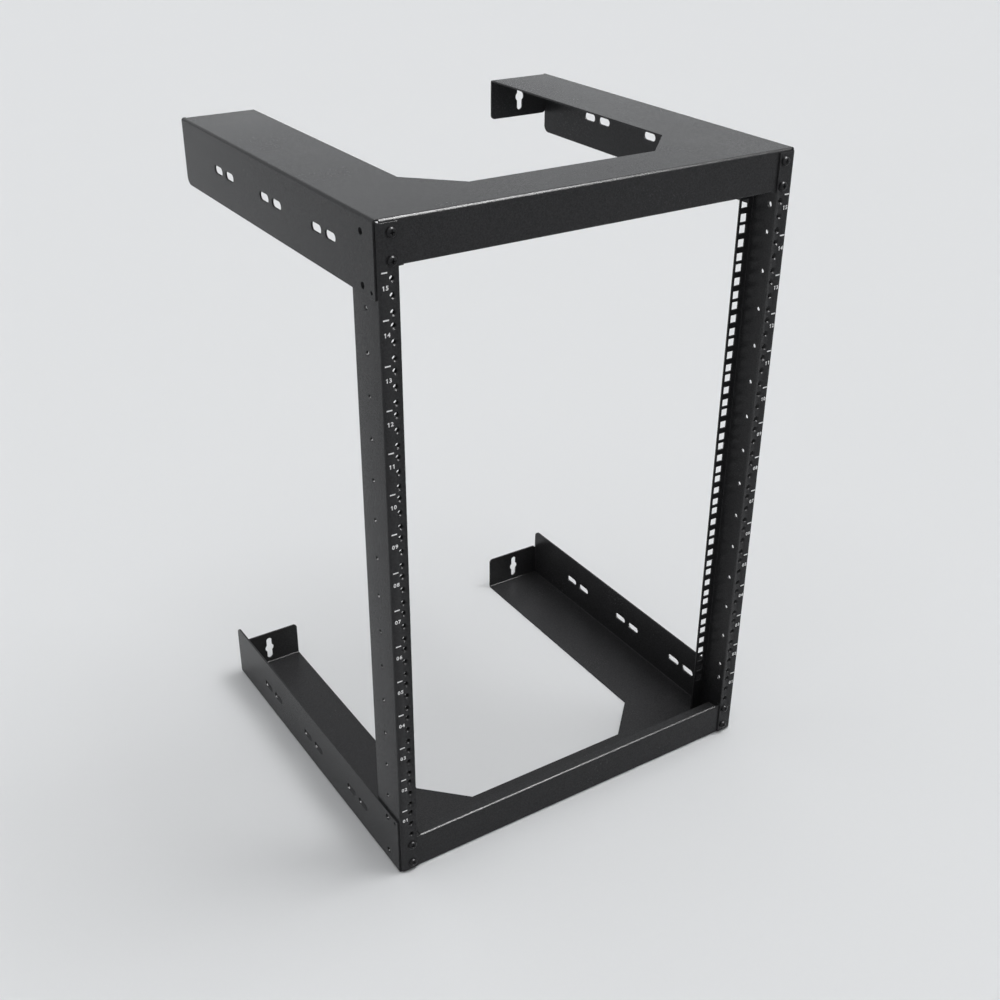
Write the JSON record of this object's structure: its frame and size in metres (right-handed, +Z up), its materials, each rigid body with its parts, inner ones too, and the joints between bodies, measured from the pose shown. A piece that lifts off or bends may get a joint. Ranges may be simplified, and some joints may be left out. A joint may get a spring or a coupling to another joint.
{
  "type": "wall mount rack",
  "caption": "Open-frame wall mount rack: U-shaped folded sheet brackets at top and bottom, joined at the front by upright punched posts for 19-inch equipment.",
  "frame": {"origin": "middle of the floor rectangle that the rack covers", "axes": "+X to the right seen from the front, +Y back towards the wall, +Z up from the floor"},
  "size_m": [0.496, 0.463, 0.762],
  "materials": {
    "black_powder_coat": "satin black powder coat with a fine texture",
    "black_zinc": "black zinc plated steel, semi-gloss",
    "white_print": "flat white screen-printed ink"
  },
  "bodies": {
    "root": {"top_bracket": "black_powder_coat", "bottom_bracket": "black_powder_coat", "left_post": "black_powder_coat", "right_post": "black_powder_coat", "top_left_upper_screw": "black_zinc", "top_left_lower_screw": "black_zinc", "bottom_left_upper_screw": "black_zinc", "bottom_left_lower_screw": "black_zinc", "top_right_upper_screw": "black_zinc", "top_right_lower_screw": "black_zinc", "bottom_right_upper_screw": "black_zinc", "bottom_right_lower_screw": "black_zinc", "top_left_upper_nut": "black_zinc", "top_left_lower_nut": "black_zinc", "bottom_left_upper_nut": "black_zinc", "bottom_left_lower_nut": "black_zinc", "top_right_upper_nut": "black_zinc", "top_right_lower_nut": "black_zinc", "bottom_right_upper_nut": "black_zinc", "bottom_right_lower_nut": "black_zinc"}
  },
  "joints": []
}
